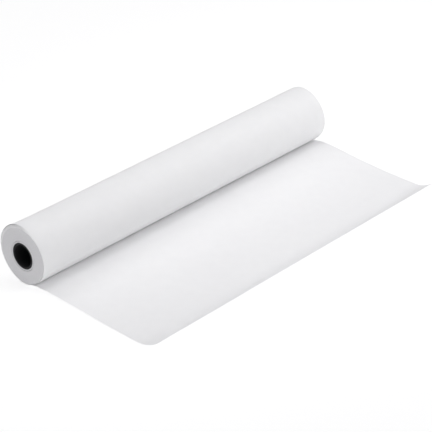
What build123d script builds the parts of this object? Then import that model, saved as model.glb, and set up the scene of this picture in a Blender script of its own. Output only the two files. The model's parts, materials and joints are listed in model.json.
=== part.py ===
from build123d import *

import math
import os

# A part-used roll of wide plotter paper. It lies on a flat surface with its free
# end drawn out in front of it, and its outermost turn has sprung loose over the top.
# Millimetres. +X runs along the roll, the free end lies towards -Y, and +Z is up.
# The origin is on the surface, under the middle of the whole object's box.

# --- driving dimensions ---
WEB_WIDTH = 914.0  # 36 inch paper
BORE_RADIUS = 25.4  # 2 inch core
CORE_WALL = 5.1
INNER_TURNS_DEPTH = 3.1  # first turns, wound looser than the rest
TIGHT_RADIUS = 64.3  # outside of the tightly wound turns
PAPER_THICKNESS = 0.5  # thicker than real paper, so that it can be a solid
RUNNING_GAP = 0.3  # between the turning roll and the paper that doesn't turn
LOOSE_RISE = 6.0  # most that the loose turn stands off the roll
LOOSE_SPAN = 155.0  # degrees of the turn that stand off, from the back over the top
LIFT_ANGLE = 80.0  # degrees below the back where the loose turn leaves the surface
NIP_ANGLE = 80.0  # degrees below the front where the loose turn ends
SHEET_REACH = 391.0  # from under the roll's axis to the tip of the sheet
SHEET_TAIL = 12.0  # how far the flat sheet runs back beyond the axis
CURL_RADIUS = 66.0  # the sheet's tip keeps about the curl it had on the roll
CURL_ANGLE = 45.0
TAPE_WIDTH = 25.0
TAPE_THICKNESS = 0.2
TAPE_LENGTH = 860.0
GROOVE = 0.4  # chamfer at the ends, where the inner turns meet the tight ones
LOOSE_POINTS = 9  # points on each side of the loose stretch

# --- worked out ---
CORE_RADIUS = BORE_RADIUS + CORE_WALL
INNER_RADIUS = CORE_RADIUS + INNER_TURNS_DEPTH
TURN_INSIDE = TIGHT_RADIUS + RUNNING_GAP
TURN_OUTSIDE = TURN_INSIDE + PAPER_THICKNESS
AXIS_Z = PAPER_THICKNESS + RUNNING_GAP + TURN_OUTSIDE
AXIS_Y = (SHEET_REACH - TURN_OUTSIDE) / 2
CURL_START = AXIS_Y - SHEET_REACH + CURL_RADIUS * math.sin(math.radians(CURL_ANGLE))


def along_roll(section):
    """A solid with this section in the YZ plane, as wide as the paper."""
    return extrude(section, WEB_WIDTH / 2, both=True)


def roll_point(radius, degrees):
    """A point in the YZ plane about the roll's axis: 0 at the back, 90 at the top."""
    angle = math.radians(degrees)
    return (AXIS_Y + radius * math.cos(angle), AXIS_Z + radius * math.sin(angle))


def ring(inside, outside):
    """A full-width tube about the roll's axis."""
    with BuildSketch(Plane.YZ) as section:
        with Locations((AXIS_Y, AXIS_Z)):
            Circle(outside)
            Circle(inside, mode=Mode.SUBTRACT)
    return along_roll(section.sketch)


def core_tube():
    return ring(BORE_RADIUS, CORE_RADIUS)


def start_tape():
    """The strip that holds the paper's first edge to the core, under the first turn."""
    half_angle = math.degrees(TAPE_WIDTH / 2 / CORE_RADIUS)
    outside = CORE_RADIUS + TAPE_THICKNESS
    with BuildSketch(Plane.YZ) as section:
        with BuildLine():
            centre = (AXIS_Y, AXIS_Z)
            under = CenterArc(centre, CORE_RADIUS, 90 - half_angle, 2 * half_angle)
            over = CenterArc(centre, outside, 90 - half_angle, 2 * half_angle)
            Line(under @ 0, over @ 0)
            Line(under @ 1, over @ 1)
        make_face()
    return extrude(section.sketch, TAPE_LENGTH / 2, both=True)


def end_edges(shape, radius):
    """The circles of this radius at both ends of a tube."""
    return shape.edges().filter_by(GeomType.CIRCLE).filter_by(lambda e: abs(e.radius - radius) < GROOVE / 4)


def inner_turns(tape):
    tube = ring(CORE_RADIUS, INNER_RADIUS)
    return chamfer(end_edges(tube, INNER_RADIUS), GROOVE) - tape


def wound_turns():
    tube = ring(INNER_RADIUS, TIGHT_RADIUS)
    return chamfer(end_edges(tube, INNER_RADIUS), GROOVE)


def loose_curve(radius):
    """One side of the loose stretch: it leaves the roll at the back and meets it again at the front."""
    points = []
    for i in range(LOOSE_POINTS):
        share = i / (LOOSE_POINTS - 1)
        rise = LOOSE_RISE * math.sin(math.pi * share) ** 2
        points.append(roll_point(radius + rise, LOOSE_SPAN * share))
    landing = math.radians(LOOSE_SPAN)
    return Spline(*points, tangents=[(0, 1), (-math.sin(landing), math.cos(landing))])


def outer_turn():
    """The outermost turn: up the back, loose over the top, then down the front to the nip."""
    centre = (AXIS_Y, AXIS_Z)
    front_sweep = 180 + NIP_ANGLE - LOOSE_SPAN
    with BuildSketch(Plane.YZ) as section:
        with BuildLine():
            lifts = []
            nips = []
            for radius in (TURN_INSIDE, TURN_OUTSIDE):
                back = CenterArc(centre, radius, -LIFT_ANGLE, LIFT_ANGLE)
                loose_curve(radius)
                front = CenterArc(centre, radius, LOOSE_SPAN, front_sweep)
                lifts.append(back @ 0)
                nips.append(front @ 1)
            Line(*lifts)
            Line(*nips)
        make_face()
    return along_roll(section.sketch)


def laid_sheet():
    """The flat run, from under the roll to where the tip begins to curl."""
    length = AXIS_Y + SHEET_TAIL - CURL_START
    with BuildSketch(Plane.YZ) as section:
        with Locations((CURL_START, 0)):
            Rectangle(length, PAPER_THICKNESS, align=(Align.MIN, Align.MIN))
    return along_roll(section.sketch)


def curled_lip():
    """The leading edge, curling up off the surface."""
    centre = (CURL_START, CURL_RADIUS)
    with BuildSketch(Plane.YZ) as section:
        with BuildLine():
            under = CenterArc(centre, CURL_RADIUS, -90, -CURL_ANGLE)
            over = CenterArc(centre, CURL_RADIUS - PAPER_THICKNESS, -90, -CURL_ANGLE)
            Line(under @ 0, over @ 0)
            Line(under @ 1, over @ 1)
        make_face()
    return along_roll(section.sketch)


tape = start_tape()
nodes = {
    "core_tube": core_tube(),
    "start_tape": tape,
    "inner_turns": inner_turns(tape),
    "wound_turns": wound_turns(),
    "outer_turn": outer_turn(),
    "laid_sheet": laid_sheet(),
    "curled_lip": curled_lip(),
}

os.makedirs("parts", exist_ok=True)
for name, shape in nodes.items():
    shape.label = name
    export_step(shape, f"parts/{name}.step")

print(f"roll axis at y {AXIS_Y:.3f}, z {AXIS_Z:.3f}")
print(f"curl starts at y {CURL_START:.3f}")
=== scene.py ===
import json
import math

import bpy
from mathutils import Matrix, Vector, noise


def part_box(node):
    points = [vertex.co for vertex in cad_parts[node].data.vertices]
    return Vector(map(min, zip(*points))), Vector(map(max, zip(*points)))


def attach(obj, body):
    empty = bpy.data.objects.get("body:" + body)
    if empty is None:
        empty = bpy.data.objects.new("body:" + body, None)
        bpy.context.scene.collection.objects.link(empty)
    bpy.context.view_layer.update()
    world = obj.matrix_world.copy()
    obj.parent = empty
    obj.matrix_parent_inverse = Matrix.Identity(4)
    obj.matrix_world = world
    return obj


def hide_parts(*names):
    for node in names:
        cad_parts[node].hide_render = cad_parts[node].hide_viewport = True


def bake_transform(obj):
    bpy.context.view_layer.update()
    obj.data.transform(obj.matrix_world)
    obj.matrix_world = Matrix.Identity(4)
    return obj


# A part-used roll of white plotter paper. Everything is in metres, in the frame's own axes:
# +X along the roll, the free end towards -Y, +Z up. The CAD gives the core, the wound turns,
# the loose outer turn, the laid sheet and its lip; the paper here is built around them.

MM = 0.001
SHARP_ANGLE = 35.0  # edges that turn by more degrees than this stay sharp
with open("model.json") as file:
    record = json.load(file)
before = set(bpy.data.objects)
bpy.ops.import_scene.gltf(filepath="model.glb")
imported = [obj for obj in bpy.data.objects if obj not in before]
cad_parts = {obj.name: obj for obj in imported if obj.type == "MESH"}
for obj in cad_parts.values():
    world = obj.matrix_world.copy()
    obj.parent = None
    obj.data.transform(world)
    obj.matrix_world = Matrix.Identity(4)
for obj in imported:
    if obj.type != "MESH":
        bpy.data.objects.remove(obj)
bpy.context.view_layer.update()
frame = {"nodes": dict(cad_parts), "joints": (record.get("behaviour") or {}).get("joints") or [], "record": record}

# --- places and sizes taken from the frame ---
AXIS = Vector(next(j for j in frame["joints"] if j["name"] == "roll_spin")["pos_m"])
HALF_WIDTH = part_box("laid_sheet")[1].x
LIP_TIP = AXIS.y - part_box("curled_lip")[0].y  # distance in front of the roll's axis
TIP_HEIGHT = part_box("curled_lip")[1].z
BORE_RADIUS = frame["record"]["mounts"][0]["dims"]["r_mm"] * MM
CORE_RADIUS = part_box("core_tube")[1].z - AXIS.z
INNER_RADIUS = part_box("inner_turns")[1].z - AXIS.z
TIGHT_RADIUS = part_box("wound_turns")[1].z - AXIS.z
TURN_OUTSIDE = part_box("outer_turn")[1].y - AXIS.y

# --- the paper ---
PAPER = 0.2 * MM
WEB_RADIUS = TURN_OUTSIDE - PAPER
COLUMNS = 56  # cells of the sheet across its width, and along it in each stretch:
SHEET_ROWS = 110
LIFT_ROWS = 10
TURN_ROWS = 150
LIP_SHARE = 0.22  # share of the sheet's rows that the lip takes
NEAR_CURL = 98 * MM  # radius of the lip's curl at the -X edge
FAR_CURL = 76 * MM
NEAR_HUMP = 8 * MM  # height of the low wave in front of the roll
FAR_HUMP = 13 * MM
HUMP_REACH = 75 * MM  # distance of its crest from the roll's axis
HUMP_LIFT = 30 * MM  # over this distance the sheet comes out from under the roll
HUMP_END = 330 * MM  # the wave has died out here
HUMP_FADE = 0.4  # over this last share of the way
NEAR_SHARPNESS = 1.0  # the higher, the narrower the wave's crest
FAR_SHARPNESS = 2.0
LIFT_FRONT = -6 * MM  # the sheet begins to rise up the back of the roll here
LIFT_ANGLE = -74.0  # and has joined it here, in degrees from the back
TURN_END = 268.0  # the outermost turn ends here, under the roll
RIPPLE = 0.35 * MM  # unevenness of the free sheet
RIPPLES_ACROSS = 3.1  # per metre
RIPPLES_ALONG = 5.3
RIPPLE_START = 40 * MM  # in front of the roll's axis
RIPPLE_GROWTH = 80 * MM  # from there, over this distance, it grows to its full height
RIPPLE_SEED = 0.7  # seeds are places in the noise
LOOSE_RISE = 4.8 * MM  # most that the loose turn stands off the roll
LOOSE_FLARE = 2.4 * MM  # and this much more at the -X edge
FLARE_REACH = 30 * MM
LOOSE_PEAK = 50.0  # where it stands off most, in degrees from the back
LOOSE_BACK = 108.0  # it leaves the roll this far before there
LOOSE_FRONT = 66.0  # and meets it again this far after
LOOSE_UNEVEN = 0.06  # share by which the stand-off varies along the roll
LOOSE_WAVES = 2.3  # per metre
LOOSE_SEED = 4.1
LOOSE_TURNS = 8  # turns that have slackened under it
LOOSE_GAP = 1.0 * MM  # between them and the outermost turn, at most
DRIFT = 1.0 * MM  # the outermost turn has slipped this far towards +X
DRIFT_GROWTH = 90.0  # degrees after LIFT_ANGLE over which that builds up
TOP_DRIFT = 3.8 * MM  # and this much further where it crosses the top of the roll
DRIFT_PEAK = 84.0  # in degrees from the back
DRIFT_REACH = 62.0  # either side of there
TIP_GAP = 0.1 * MM  # between the slack turns and what lies on either side of them
END_SINK = 0.3 * MM  # the slack turns lie this far inside the roll's ends
SLACK_LAG = 0.6  # the first of them has slipped this share of one turn's step
SLACK_UNEVEN = 0.8  # their unevenness, as a share of the tight turns'
SLACK_SPACING = 10 * MM  # the noise takes them to be this far apart
SLACK_SEED = 5.1
SLACK_TRIM = 2.0  # the crescent stops short of its tips by this, in degrees
SLACK_CUTS = 90  # cells of the crescent round the roll

# --- the wound turns ---
TURN_SEGMENTS = 220  # cells of the tubes of layers round the roll
WOUND_STEP = 0.45 * MM  # in radius, from one point of the roll's uneven ends to the next
INNER_STEP = 0.35 * MM
DRIFT_IN_LINE = 0.35 * MM  # slow change of a layer's place along the roll
DRIFT_WAVES = 160  # per metre of the roll's radius
FINE_IN_LINE = 0.12 * MM  # how far neighbouring layers differ
FINE_WAVES = 1500
FINE_SEED = 9
WANDER = 0.12 * MM  # how far one layer wanders as it goes round
WANDER_WAVES = 120
WOUND_SEED = 3.3
WOUND_GROOVE = (0.9 * MM, 5 * MM)  # (width, depth) of the gap round the first turns, in the tight ones
INNER_GROOVE = (0.5 * MM, 5 * MM)  # and in the first turns
CORE_GROOVE = (0.1 * MM, 0.3 * MM)  # the gap round the core
NO_GROOVE = (0, 0)

# --- the core ---
CORE_RIM = 0.9 * MM  # rounding of its rims
RIM_STEPS = 6  # cells across each rounding
CORE_SEGMENTS = 150  # cells round it
PLY_PITCH = HALF_WIDTH / 3  # the inner ply's joint goes once round the bore in this length
PLY_STEP = 4 * MM  # length of one cell along the bore
PLY_GROOVE = 0.45 * MM  # depth of the joint

# --- the studio ---
FLOOR_REACH = 30  # metres from the origin to its edges
FLOOR_GREY = 0.5
FLOOR_GLOW = 0.64
ROOM_COLOUR = (0.965, 0.96, 1, 1)
ROOM_GLOW = 0.256
CAMERA_PLACE = (-2.6213, AXIS.y - 2.5406, 2.0320)
CAMERA_AZIMUTH = 47.414  # it looks along +Y, turned this many degrees towards +X
CAMERA_ELEVATION = 29.432  # and down by this many
CAMERA_LENS = 152.9
CAMERA_SENSOR = 36
CAMERA_FAR = 100


def smooth(t):
    t = min(max(t, 0.0), 1.0)
    return t * t * (3 - 2 * t)


def mix(a, b, t):
    return a + (b - a) * t


# --- mesh helpers ---
def make_object(name, vertices, faces, material):
    mesh = bpy.data.meshes.new(name)
    mesh.from_pydata(vertices, [], faces)
    mesh.validate()
    piece = bpy.data.objects.new(name, mesh)
    bpy.context.scene.collection.objects.link(piece)
    mesh.materials.append(material)
    mesh.shade_smooth()
    mesh.set_sharp_from_angle(angle=math.radians(SHARP_ANGLE))
    return piece


def quads_between(loops, count, closed):
    """Faces that join each loop of count vertices to the next one, and the last to the first if closed."""
    faces = []
    for i in range(loops if closed else loops - 1):
        here = i * count
        there = (i + 1) % loops * count
        for j in range(count):
            k = (j + 1) % count
            faces.append((here + j, here + k, there + k, there + j))
    return faces


def lathe(name, profile, segments, material, wobble):
    """Turns a closed profile of (x, radius) points about the roll's axis, each shifted along x by wobble."""
    vertices = []
    for i in range(segments):
        angle = 2 * math.pi * i / segments
        for x, radius in profile:
            y = AXIS.y + radius * math.cos(angle)
            z = AXIS.z + radius * math.sin(angle)
            vertices.append((x + wobble(radius, angle), y, z))
    return make_object(name, vertices, quads_between(segments, len(profile), True), material)


# --- materials ---
def new_material(name):
    material = bpy.data.materials.new(name)
    material.use_nodes = True
    nodes = material.node_tree.nodes
    shader = nodes["Principled BSDF"]
    return material, nodes, material.node_tree.links, shader


def object_noise(nodes, links, scale, detail, stretch=(1, 1, 1)):
    where = nodes.new("ShaderNodeTexCoord")
    mapping = nodes.new("ShaderNodeMapping")
    mapping.inputs["Scale"].default_value = stretch
    links.new(where.outputs["Object"], mapping.inputs["Vector"])
    texture = nodes.new("ShaderNodeTexNoise")
    texture.inputs["Scale"].default_value = scale
    texture.inputs["Detail"].default_value = detail
    links.new(mapping.outputs["Vector"], texture.inputs["Vector"])
    return texture.outputs["Fac"]


def ramp(nodes, links, source, low, high, start=0.3, end=0.7):
    """A colour between two, from where source is start to where it is end."""
    steps = nodes.new("ShaderNodeValToRGB")
    steps.color_ramp.elements[0].position = start
    steps.color_ramp.elements[1].position = end
    steps.color_ramp.elements[0].color = (*low, 1)
    steps.color_ramp.elements[1].color = (*high, 1)
    links.new(source, steps.inputs["Fac"])
    return steps.outputs["Color"]


def bump(nodes, links, source, distance, strength, below=None):
    node = nodes.new("ShaderNodeBump")
    node.inputs["Distance"].default_value = distance
    node.inputs["Strength"].default_value = strength
    links.new(source, node.inputs["Height"])
    if below:
        links.new(below, node.inputs["Normal"])
    return node.outputs["Normal"]


def paper_material():
    """Uncoated bond: faint cloudy formation, fine fibre tooth, no gloss, and some light comes through."""
    material, nodes, links, shader = new_material("web_paper")
    cloud = object_noise(nodes, links, scale=45, detail=4)
    white = ramp(nodes, links, cloud, low=(0.872, 0.871, 0.878), high=(0.886, 0.885, 0.891))
    links.new(white, shader.inputs["Base Color"])
    fibre = object_noise(nodes, links, scale=1400, detail=6, stretch=(1, 0.55, 1))
    tooth = object_noise(nodes, links, scale=520, detail=4)
    soft = bump(nodes, links, tooth, distance=0.06 * MM, strength=0.35)
    rough = bump(nodes, links, fibre, distance=0.03 * MM, strength=0.5, below=soft)
    links.new(rough, shader.inputs["Normal"])
    grain = ramp(nodes, links, fibre, low=(0.72, 0.72, 0.72), high=(0.9, 0.9, 0.9))
    links.new(grain, shader.inputs["Roughness"])
    shader.inputs["Specular IOR Level"].default_value = 0.25
    shader.inputs["Subsurface Weight"].default_value = 0.75
    shader.inputs["Subsurface Radius"].default_value = (1, 1, 1)
    shader.inputs["Subsurface Scale"].default_value = PAPER
    return material


def edge_material():
    """The cut edges of hundreds of layers, seen as fine rings, coloured greyer than the paper as painted shade
    from the crevices between the edges.
    """
    material, nodes, links, shader = new_material("paper_edges")
    where = nodes.new("ShaderNodeTexCoord")
    mapping = nodes.new("ShaderNodeMapping")
    mapping.inputs["Location"].default_value = (0, -AXIS.y, -AXIS.z)
    links.new(where.outputs["Object"], mapping.inputs["Vector"])
    rings = nodes.new("ShaderNodeTexWave")
    rings.wave_type = "RINGS"
    rings.rings_direction = "X"
    rings.inputs["Scale"].default_value = 420
    rings.inputs["Distortion"].default_value = 1.2
    rings.inputs["Detail"].default_value = 3
    rings.inputs["Detail Scale"].default_value = 0.6
    links.new(mapping.outputs["Vector"], rings.inputs["Vector"])
    ring = rings.outputs["Fac"]
    # Greyer than the flat paper: painted shade of the crevices between the layers' cut edges. The rings themselves
    # are the real layers.
    edge_grey_and_painted_shade = ramp(nodes, links, ring, low=(0.735, 0.73, 0.745), high=(0.835, 0.83, 0.845), start=0, end=1)
    links.new(edge_grey_and_painted_shade, shader.inputs["Base Color"])
    fuzz = object_noise(nodes, links, scale=1800, detail=4)
    soft = bump(nodes, links, fuzz, distance=0.08 * MM, strength=0.4)
    ridged = bump(nodes, links, ring, distance=0.15 * MM, strength=0.5, below=soft)
    links.new(ridged, shader.inputs["Normal"])
    dull = ramp(nodes, links, fuzz, low=(0.8, 0.8, 0.8), high=(0.95, 0.95, 0.95))
    links.new(dull, shader.inputs["Roughness"])
    shader.inputs["Specular IOR Level"].default_value = 0.15
    return material


def core_material():
    """Black board: pulp fibres lying along the tube, slightly scuffed."""
    material, nodes, links, shader = new_material("core_board")
    pulp = object_noise(nodes, links, scale=260, detail=5, stretch=(1, 3, 3))
    black = ramp(nodes, links, pulp, low=(0.006, 0.006, 0.0065), high=(0.018, 0.018, 0.019))
    links.new(black, shader.inputs["Base Color"])
    fine = object_noise(nodes, links, scale=1500, detail=4)
    links.new(bump(nodes, links, fine, distance=0.1 * MM, strength=0.5), shader.inputs["Normal"])
    scuff = ramp(nodes, links, pulp, low=(0.6, 0.6, 0.6), high=(0.85, 0.85, 0.85))
    links.new(scuff, shader.inputs["Roughness"])
    shader.inputs["Specular IOR Level"].default_value = 0.3
    return material


def tape_material():
    """Creped paper tape."""
    material, nodes, links, shader = new_material("paper_tape")
    crepe = object_noise(nodes, links, scale=900, detail=3, stretch=(0.3, 1, 1))
    buff = ramp(nodes, links, crepe, low=(0.5, 0.42, 0.28), high=(0.62, 0.54, 0.38))
    links.new(buff, shader.inputs["Base Color"])
    links.new(bump(nodes, links, crepe, distance=0.1 * MM, strength=0.6), shader.inputs["Normal"])
    sheen = ramp(nodes, links, crepe, low=(0.45, 0.45, 0.45), high=(0.65, 0.65, 0.65))
    links.new(sheen, shader.inputs["Roughness"])
    return material


# --- the paper web: lip, laid sheet, lift, loose turn ---
def hump_height(across, ahead):
    """The low wave: across is 0 at the -X edge and 1 at the +X edge, ahead is the distance from the axis."""
    u = max(ahead, 0.0) / HUMP_REACH
    wave = (u * math.exp(1 - u)) ** mix(NEAR_SHARPNESS, FAR_SHARPNESS, across)
    ends = smooth(ahead / HUMP_LIFT) * smooth((HUMP_END - ahead) / (HUMP_FADE * HUMP_END))
    return mix(NEAR_HUMP, FAR_HUMP, across) * wave * ends


def ripple(x, ahead):
    """A slight unevenness of the free sheet, never below the floor, which dies out towards the roll."""
    level = noise.noise(Vector((x * RIPPLES_ACROSS, ahead * RIPPLES_ALONG, RIPPLE_SEED)))
    return RIPPLE * (1 + level) * smooth((ahead - RIPPLE_START) / RIPPLE_GROWTH)


def sheet_row(across, share):
    """A point of the free sheet: share runs from 0 at the tip to 1 under the roll."""
    x = mix(-HALF_WIDTH, HALF_WIDTH, across)
    curl = mix(NEAR_CURL, FAR_CURL, across)
    rise = TIP_HEIGHT - PAPER
    run = math.sqrt(2 * curl * rise - rise * rise)
    if share < LIP_SHARE:
        angle = math.asin(run / curl) * (1 - share / LIP_SHARE)
        ahead = LIP_TIP - run + curl * math.sin(angle)
        height = curl * (1 - math.cos(angle))
    else:
        ahead = mix(LIP_TIP - run, LIFT_FRONT, (share - LIP_SHARE) / (1 - LIP_SHARE))
        height = 0.0
    z = PAPER / 2 + height + hump_height(across, ahead) + ripple(x, ahead)
    return Vector((x, AXIS.y - ahead, z))


def stand_off(x, degrees):
    """How far the loose turn has sprung away from the roll."""
    reach = LOOSE_BACK if degrees < LOOSE_PEAK else LOOSE_FRONT
    share = min(abs(degrees - LOOSE_PEAK) / reach, 1.0)
    slack = 1 + LOOSE_UNEVEN * noise.noise(Vector((x * LOOSE_WAVES, LOOSE_SEED, 0)))
    most = LOOSE_RISE * slack + LOOSE_FLARE * math.exp(-(x + HALF_WIDTH) / FLARE_REACH)
    return most * math.cos(math.pi / 2 * share) ** 2


def slip_along(degrees):
    """How far the outermost turn has slipped towards +X."""
    top = max(1 - abs(degrees - DRIFT_PEAK) / DRIFT_REACH, 0.0)
    return DRIFT * smooth((degrees - LIFT_ANGLE) / DRIFT_GROWTH) + TOP_DRIFT * smooth(top)


def roll_point(x, radius, degrees):
    angle = math.radians(degrees)
    return Vector((x, AXIS.y + radius * math.cos(angle), AXIS.z + radius * math.sin(angle)))


def turn_row(across, degrees):
    """A point of the turn that wraps the roll: 0 degrees at the back, 90 at the top."""
    x = mix(-HALF_WIDTH, HALF_WIDTH, across)
    return roll_point(x + slip_along(degrees), WEB_RADIUS + stand_off(x, degrees), degrees)


def lift_row(across, share):
    """A point of the stretch that leaves the floor and joins the back of the roll."""
    start = sheet_row(across, 1.0)
    end = turn_row(across, LIFT_ANGLE)
    span = (end - start).length
    leave = Vector((0, 1, 0)) * span
    join = Vector((0, -math.sin(math.radians(LIFT_ANGLE)), math.cos(math.radians(LIFT_ANGLE)))) * span
    a = 2 * share**3 - 3 * share**2 + 1
    b = share**3 - 2 * share**2 + share
    c = share**3 - share**2
    return start * a + leave * b + end * (1 - a) + join * c


def web_points(across):
    """The web's points along one column, from its tip to the end of the turn round the roll."""
    rows = [sheet_row(across, i / SHEET_ROWS) for i in range(SHEET_ROWS)]
    rows += [lift_row(across, i / LIFT_ROWS) for i in range(LIFT_ROWS)]
    rows += [turn_row(across, mix(LIFT_ANGLE, TURN_END, i / TURN_ROWS)) for i in range(TURN_ROWS + 1)]
    return rows


def paper_web(material):
    """One continuous sheet, with its real edges: an upper and a lower face joined by a rim."""
    columns = [web_points(j / COLUMNS) for j in range(COLUMNS + 1)]
    rows = len(columns[0])
    upper = []
    lower = []
    for column in columns:
        for i, point in enumerate(column):
            along = column[min(i + 1, rows - 1)] - column[max(i - 1, 0)]
            normal = Vector((0, -along.z, along.y)).normalized() * (PAPER / 2)
            upper.append(point + normal)
            lower.append(point - normal)
    wide = len(columns)
    below = len(upper)

    def corner(j, i):
        return j * rows + i

    faces = []
    for j in range(wide - 1):
        for i in range(rows - 1):
            quad = (corner(j, i), corner(j + 1, i), corner(j + 1, i + 1), corner(j, i + 1))
            faces.append(quad)
            faces.append(tuple(below + v for v in reversed(quad)))
    for j in range(wide - 1):
        for i, flip in ((0, False), (rows - 1, True)):
            a, b = corner(j, i), corner(j + 1, i)
            quad = (b, a, below + a, below + b)
            faces.append(quad[::-1] if flip else quad)
    for i in range(rows - 1):
        for j, flip in ((0, False), (wide - 1, True)):
            a, b = corner(j, i), corner(j, i + 1)
            quad = (a, b, below + b, below + a)
            faces.append(quad[::-1] if flip else quad)
    return make_object("paper_web", upper + lower, faces, material)


# --- the wound turns and the core ---
def layer_shift(radius, seed):
    """How far the layer at this radius sits out of line: a slow drift and a fine unevenness."""
    drift = noise.noise(Vector((radius * DRIFT_WAVES, seed, 0)))
    fine = noise.noise(Vector((radius * FINE_WAVES, seed, FINE_SEED)))
    return DRIFT_IN_LINE * drift + FINE_IN_LINE * fine


def wound_wobble(radius, angle):
    """Each layer wanders a little as it goes round, the same way at both ends."""
    around = Vector((math.cos(angle), math.sin(angle), radius * WANDER_WAVES))
    return layer_shift(radius, WOUND_SEED) + WANDER * noise.noise(around)


def end_steps(inside, outside, step):
    count = round((outside - inside) / step)
    return [mix(inside, outside, i / count) for i in range(count + 1)]


def layered_tube(name, inside, outside, step, groove_in, groove_out, material, skin):
    """A tube of wound layers whose ends show them as fine ridges. Grooves are (width, depth) at its ends.

    skin is the material of its outer wall, and material that of the rest.
    """
    profile = []
    for side in (1, -1):
        end = side * HALF_WIDTH
        face = []
        if groove_out[0]:
            face.append((end - side * groove_out[1], outside))
        outer = outside - groove_out[0]
        inner = inside + groove_in[0]
        face += [(end, radius) for radius in reversed(end_steps(inner, outer, step))]
        if groove_in[0]:
            face.append((end - side * groove_in[1], inside))
        profile += face if side == 1 else reversed(face)
    tube = lathe(name, profile, TURN_SEGMENTS, material, wound_wobble)
    tube.data.materials.append(skin)
    last = len(profile) - 1
    for i, polygon in enumerate(tube.data.polygons):
        if i % len(profile) == last:
            polygon.material_index = 1
    return tube


def wound_layers(material, skin):
    return layered_tube("wound_layers", INNER_RADIUS, TIGHT_RADIUS, WOUND_STEP,
                        WOUND_GROOVE, NO_GROOVE, material, skin)


def inner_layers(material, skin):
    return layered_tube("inner_layers", CORE_RADIUS, INNER_RADIUS, INNER_STEP,
                        CORE_GROOVE, INNER_GROOVE, material, skin)


def slack_share(x, degrees):
    """How slack the turns under the outermost one are: 0 at the crescent's tips, 1 at its middle."""
    return min(stand_off(x, degrees) / LOOSE_RISE, 1.0)


def slack_radius(x, degrees, layer):
    """Outside of one slack turn: 0 is the tight roll, and the last lies just under the outermost turn."""
    most = WEB_RADIUS - TIP_GAP + stand_off(x, degrees) - LOOSE_GAP * slack_share(x, degrees)
    return mix(TIGHT_RADIUS + TIP_GAP, most, layer / LOOSE_TURNS)


def slack_section(degrees):
    """The crescent of slack turns cut at one angle. Its ends are steps: each turn has slipped further."""
    loop = []
    for side in (-1, 1):
        steps = []
        for layer in range(LOOSE_TURNS):
            slip = slip_along(degrees) * (layer + SLACK_LAG) / LOOSE_TURNS
            uneven = SLACK_UNEVEN * layer_shift(SLACK_SPACING * layer, SLACK_SEED)
            x = side * (HALF_WIDTH - END_SINK) + slip + uneven
            steps += [roll_point(x, slack_radius(x, degrees, layer + k), degrees) for k in (0, 1)]
        if side == -1:
            loop += steps
            for j in range(1, COLUMNS):
                x = mix(-HALF_WIDTH, HALF_WIDTH, j / COLUMNS)
                loop.append(roll_point(x, slack_radius(x, degrees, LOOSE_TURNS), degrees))
        else:
            loop += reversed(steps)
    return loop


def slack_layers(material):
    """The turns between the tight roll and the outermost one, sprung apart over the top of the roll."""
    first = LOOSE_PEAK - LOOSE_BACK + SLACK_TRIM
    last = LOOSE_PEAK + LOOSE_FRONT - SLACK_TRIM
    loops = [slack_section(mix(first, last, i / SLACK_CUTS)) for i in range(SLACK_CUTS + 1)]
    count = len(loops[0])
    vertices = [point for loop in loops for point in loop]
    faces = quads_between(len(loops), count, False)
    faces.append(tuple(reversed(range(count))))
    faces.append(tuple(SLACK_CUTS * count + j for j in range(count)))
    return make_object("slack_layers", vertices, faces, material)


def rim_profile(inside, outside, rim):
    """The rim of a tube, from its outside round to its inside, as (distance in, radius) points."""
    turns = [math.radians(90 * i / RIM_STEPS) for i in range(RIM_STEPS + 1)]
    points = [(rim * (1 - math.sin(turn)), outside - rim * (1 - math.cos(turn))) for turn in turns]
    points += [(rim * (1 - math.cos(turn)), inside + rim * (1 - math.sin(turn))) for turn in turns]
    return points


def core(material):
    """A spirally wound tube: softly rounded rims, and the joint of its inner ply running along the bore."""
    rim = rim_profile(BORE_RADIUS, CORE_RADIUS, CORE_RIM)
    profile = [(HALF_WIDTH - inward, radius) for inward, radius in rim]
    stations = round((2 * HALF_WIDTH - 2 * CORE_RIM) / PLY_STEP)
    profile += [(mix(HALF_WIDTH - CORE_RIM, CORE_RIM - HALF_WIDTH, i / stations), BORE_RADIUS)
                for i in range(1, stations)]
    profile += [(inward - HALF_WIDTH, radius) for inward, radius in reversed(rim)]
    vertices = []
    for i in range(CORE_SEGMENTS):
        for x, radius in profile:
            angle = 2 * math.pi * (i / CORE_SEGMENTS + x / PLY_PITCH)
            if i == 0 and radius < BORE_RADIUS + CORE_RIM / 2:
                radius += PLY_GROOVE
            vertices.append((x, AXIS.y + radius * math.cos(angle), AXIS.z + radius * math.sin(angle)))
    return make_object("core", vertices, quads_between(CORE_SEGMENTS, len(profile), True), material)


# --- build ---
paper = paper_material()
edges = edge_material()
board = core_material()

web = paper_web(paper)
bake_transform(web)
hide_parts("laid_sheet", "curled_lip", "outer_turn")

layers = wound_layers(edges, paper)
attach(layers, "wound_roll")
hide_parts("wound_turns")

slack = slack_layers(paper)
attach(slack, "loose_wrap")

first = inner_layers(edges, paper)
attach(first, "wound_roll")
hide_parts("inner_turns")

tube = core(board)
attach(tube, "wound_roll")
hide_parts("core_tube")

tape = frame["nodes"]["start_tape"]
tape.data.materials.clear()
tape.data.materials.append(tape_material())


def web_length():
    middle = web_points(0.5)
    return sum((b - a).length for a, b in zip(middle, middle[1:]))


round(web_length(), 3)


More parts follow.
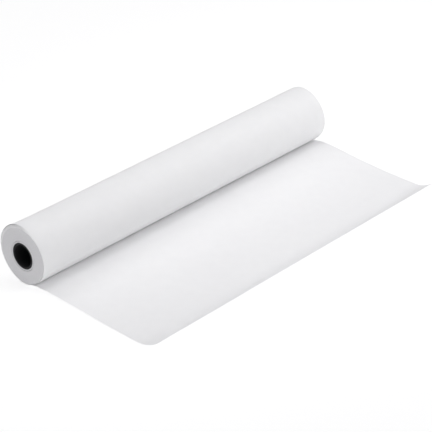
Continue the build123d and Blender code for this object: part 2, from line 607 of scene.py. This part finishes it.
# --- floor, light and camera ---
def floor():
    """A pale plane that glows, so that it is white right up to the roll's faint shadow."""
    mesh = bpy.data.meshes.new("floor")
    corners = [(x * FLOOR_REACH, y * FLOOR_REACH, 0) for x, y in ((-1, -1), (1, -1), (1, 1), (-1, 1))]
    mesh.from_pydata(corners, [], [(0, 1, 2, 3)])
    ground = bpy.data.objects.new("floor", mesh)
    bpy.context.scene.collection.objects.link(ground)
    material, _, _, shader = new_material("floor_white")
    shader.inputs["Base Color"].default_value = (FLOOR_GREY, FLOOR_GREY, FLOOR_GREY, 1)
    shader.inputs["Specular IOR Level"].default_value = 0
    shader.inputs["Emission Color"].default_value = (1, 1, 1, 1)
    shader.inputs["Emission Strength"].default_value = FLOOR_GLOW
    mesh.materials.append(material)


def area_light(name, place, aim, size, power, spread=180):
    data = bpy.data.lights.new(name, "AREA")
    data.shape = "RECTANGLE"
    data.size, data.size_y = size
    data.energy = power
    data.spread = math.radians(spread)
    light = bpy.data.objects.new(name, data)
    light.location = place
    light.rotation_euler = (Vector(aim) - Vector(place)).to_track_quat("-Z", "Y").to_euler()
    bpy.context.scene.collection.objects.link(light)


def lights():
    """A pale room, a key light from the front right, a weaker one behind, and four faint ones that fill."""
    world = bpy.data.worlds.new("studio")
    world.use_nodes = True
    room = world.node_tree.nodes["Background"]
    room.inputs["Color"].default_value = ROOM_COLOUR
    room.inputs["Strength"].default_value = ROOM_GLOW
    bpy.context.scene.world = world
    area_light("overhead", place=(0, 0, 3), aim=(0, 0, 0), size=(5, 5), power=11)
    area_light("key", place=(2.5, -2.5, 1.8), aim=(0, 0, 0), size=(2, 2), power=67.3)
    area_light("front", place=(0, -0.9, 2.2), aim=(0, 0, 0), size=(2, 2), power=3.5)
    area_light("behind", place=(0, 1.6, 2.6), aim=(0, 0, 0), size=(3, 1.5), power=23.4)
    area_light("near_end", place=(-3.5, 0.2, 1.5), aim=(0, 0.1, 0), size=(2, 2), power=1.1)
    area_light("strip", place=(0, 0.12, 1.3), aim=(0, 0.12, 0), size=(1.8, 0.4), power=0.98, spread=70)


def camera():
    """From the front left, looking down at the roll's near end."""
    data = bpy.data.cameras.new("camera")
    data.lens = CAMERA_LENS
    data.sensor_width = CAMERA_SENSOR
    data.clip_end = CAMERA_FAR
    eye = bpy.data.objects.new("camera", data)
    eye.location = CAMERA_PLACE
    eye.rotation_euler = (math.radians(90 - CAMERA_ELEVATION), 0, math.radians(-CAMERA_AZIMUTH))
    bpy.context.scene.collection.objects.link(eye)
    bpy.context.scene.camera = eye


floor()
lights()
camera()
bpy.context.scene.view_settings.view_transform = "Standard"
